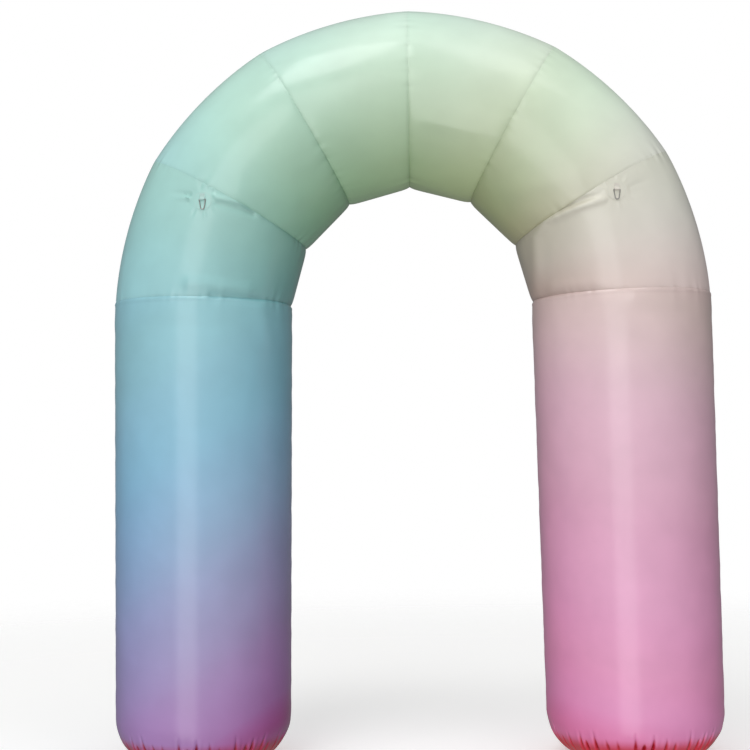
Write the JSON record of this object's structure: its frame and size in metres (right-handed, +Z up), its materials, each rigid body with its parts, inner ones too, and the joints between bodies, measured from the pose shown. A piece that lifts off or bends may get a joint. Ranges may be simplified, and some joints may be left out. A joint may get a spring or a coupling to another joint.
{
  "type": "inflatable arch",
  "caption": "Free-standing inflated cloth arch: two round upright legs under a half-round bend of sewn gores, with tether rings on the front of its shoulders.",
  "frame": {"origin": "on the ground midway between the two feet, in the arch's middle plane", "axes": "+Z up; +X from the left leg to the right leg as seen from the front; the front, with the tether rings, faces -Y"},
  "size_m": [3.0252, 0.9046, 3.7605],
  "materials": {
    "cloth_leg_left": "satin",
    "cloth_shoulder_left": "satin",
    "cloth_haunch_left": "satin",
    "cloth_crown_left": "satin",
    "cloth_crown_right": "satin",
    "cloth_haunch_right": "satin",
    "cloth_shoulder_right": "satin",
    "cloth_leg_right": "satin",
    "cloth_base": "satin",
    "patch_cloth": "matte",
    "webbing": "matte",
    "steel_ring": "satin"
  },
  "bodies": {
    "root": {"leg_left": "cloth_leg_left", "shoulder_left": "cloth_shoulder_left", "haunch_left": "cloth_haunch_left", "crown_left": "cloth_crown_left", "base_left": "cloth_base", "patch_left": "patch_cloth", "tab_left": "webbing", "ring_left": "steel_ring", "leg_right": "cloth_leg_right", "shoulder_right": "cloth_shoulder_right", "haunch_right": "cloth_haunch_right", "crown_right": "cloth_crown_right", "base_right": "cloth_base", "patch_right": "patch_cloth", "tab_right": "webbing", "ring_right": "steel_ring"}
  },
  "joints": []
}
